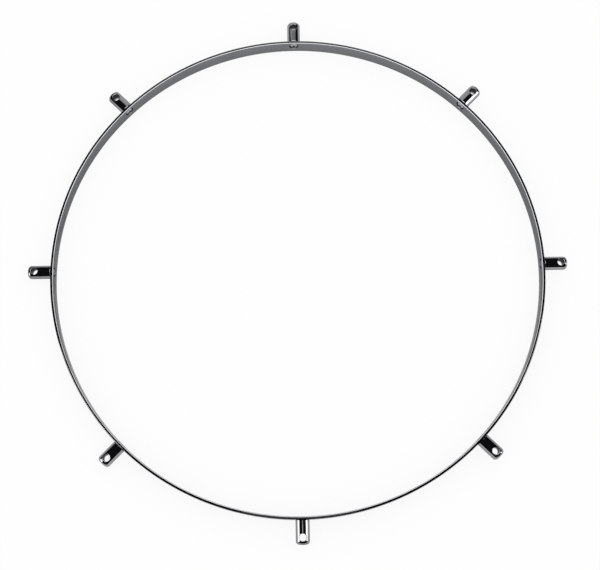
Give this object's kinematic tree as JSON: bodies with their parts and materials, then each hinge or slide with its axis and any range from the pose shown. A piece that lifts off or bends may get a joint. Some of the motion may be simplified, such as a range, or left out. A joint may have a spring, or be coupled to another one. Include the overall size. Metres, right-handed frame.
{
  "type": "drum hoop",
  "caption": "Chromed counter hoop rolled from flat bar, with cross-drilled round lugs standing out all round for tension rods, each held by a countersunk screw from inside.",
  "frame": {"origin": "centre of the hoop, level with its lower edge, which bears on the drum head", "axes": "+Z along the drum's axis, from the lower bearing edge to the rounded upper edge; +X through lug_1, with the lugs numbered counter-clockwise seen from above"},
  "size_m": [0.571, 0.571, 0.019],
  "materials": {
    "hoop_chrome": "bright chrome plate on polished steel bar",
    "lug_chrome": "bright chrome plate on turned steel",
    "screw_plate": "plated steel, a little duller than the hoop"
  },
  "bodies": {
    "root": {"hoop_band": "hoop_chrome", "lug_1": "lug_chrome", "lug_2": "lug_chrome", "lug_3": "lug_chrome", "lug_4": "lug_chrome", "lug_5": "lug_chrome", "lug_6": "lug_chrome", "lug_7": "lug_chrome", "lug_8": "lug_chrome", "lug_screw_1": "screw_plate", "lug_screw_2": "screw_plate", "lug_screw_3": "screw_plate", "lug_screw_4": "screw_plate", "lug_screw_5": "screw_plate", "lug_screw_6": "screw_plate", "lug_screw_7": "screw_plate", "lug_screw_8": "screw_plate"}
  },
  "joints": []
}
